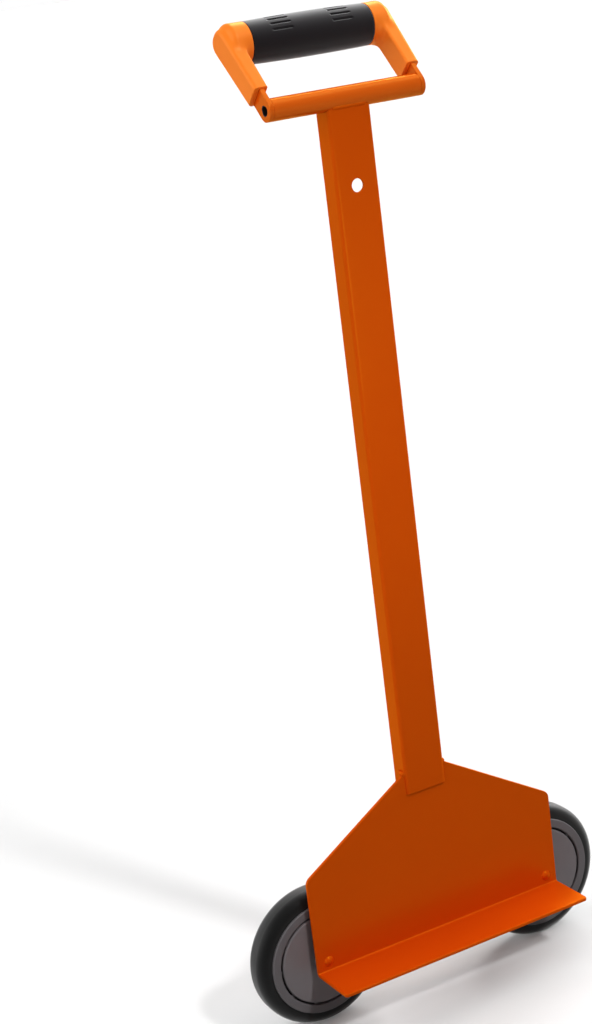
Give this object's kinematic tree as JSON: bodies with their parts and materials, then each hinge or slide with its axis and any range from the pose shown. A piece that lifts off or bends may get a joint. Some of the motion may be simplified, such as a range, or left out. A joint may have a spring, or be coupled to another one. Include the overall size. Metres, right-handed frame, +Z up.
{
  "type": "plasterboard trolley",
  "caption": "Upright board trolley: a folded ledge plate on in-line wheels, with a tall channel post and a tilted D-handle, for rolling plasterboard on edge.",
  "frame": {"origin": "on the floor, at the middle of the trolley's width and depth", "axes": "+Z up, X along the way it rolls, -Y towards the board on the ledge, +Y towards the grip"},
  "size_m": [0.356, 0.1178, 0.8498],
  "materials": {
    "orange_paint": "gloss powder coat",
    "orange_plastic": "moulded satin",
    "grip_black": "moulded satin",
    "grey_plastic": "moulded satin",
    "tyre_black": "moulded rubber",
    "bearing_steel": "ground",
    "zinc_steel": "zinc plated",
    "cage_nylon": "moulded",
    "insert_nylon": "moulded"
  },
  "bodies": {
    "frame": {"face_plate": "orange_paint", "post": "orange_paint", "crossbar": "orange_paint", "left_tab": "orange_paint", "right_tab": "orange_paint", "foot_welds": "orange_paint", "crossbar_weld": "orange_paint", "left_elbow": "orange_plastic", "right_elbow": "orange_plastic", "grip_core": "zinc_steel", "grip_sleeve": "grip_black", "rear_washers": "zinc_steel", "lock_nuts": "zinc_steel", "nut_inserts": "insert_nylon", "left_stub_axle": "orange_paint", "left_axle_sleeve": "bearing_steel", "right_stub_axle": "orange_paint", "right_axle_sleeve": "bearing_steel"},
    "left_wheel": {"left_wheel_core": "grey_plastic", "left_tyre": "tyre_black", "left_front_cover": "grey_plastic", "left_rear_cover": "grey_plastic", "left_roller_cage": "cage_nylon", "left_rollers": "bearing_steel"},
    "right_wheel": {"right_wheel_core": "grey_plastic", "right_tyre": "tyre_black", "right_front_cover": "grey_plastic", "right_rear_cover": "grey_plastic", "right_roller_cage": "cage_nylon", "right_rollers": "bearing_steel"}
  },
  "joints": [
    {"name": "left_wheel_spin", "type": "hinge", "parent": "frame", "child": "left_wheel", "pos_m": [-0.1155, 0.00859, 0.0625], "axis": [0, 1, 0], "continuous": true},
    {"name": "right_wheel_spin", "type": "hinge", "parent": "frame", "child": "right_wheel", "pos_m": [0.1155, 0.00859, 0.0625], "axis": [0, 1, 0], "continuous": true}
  ]
}
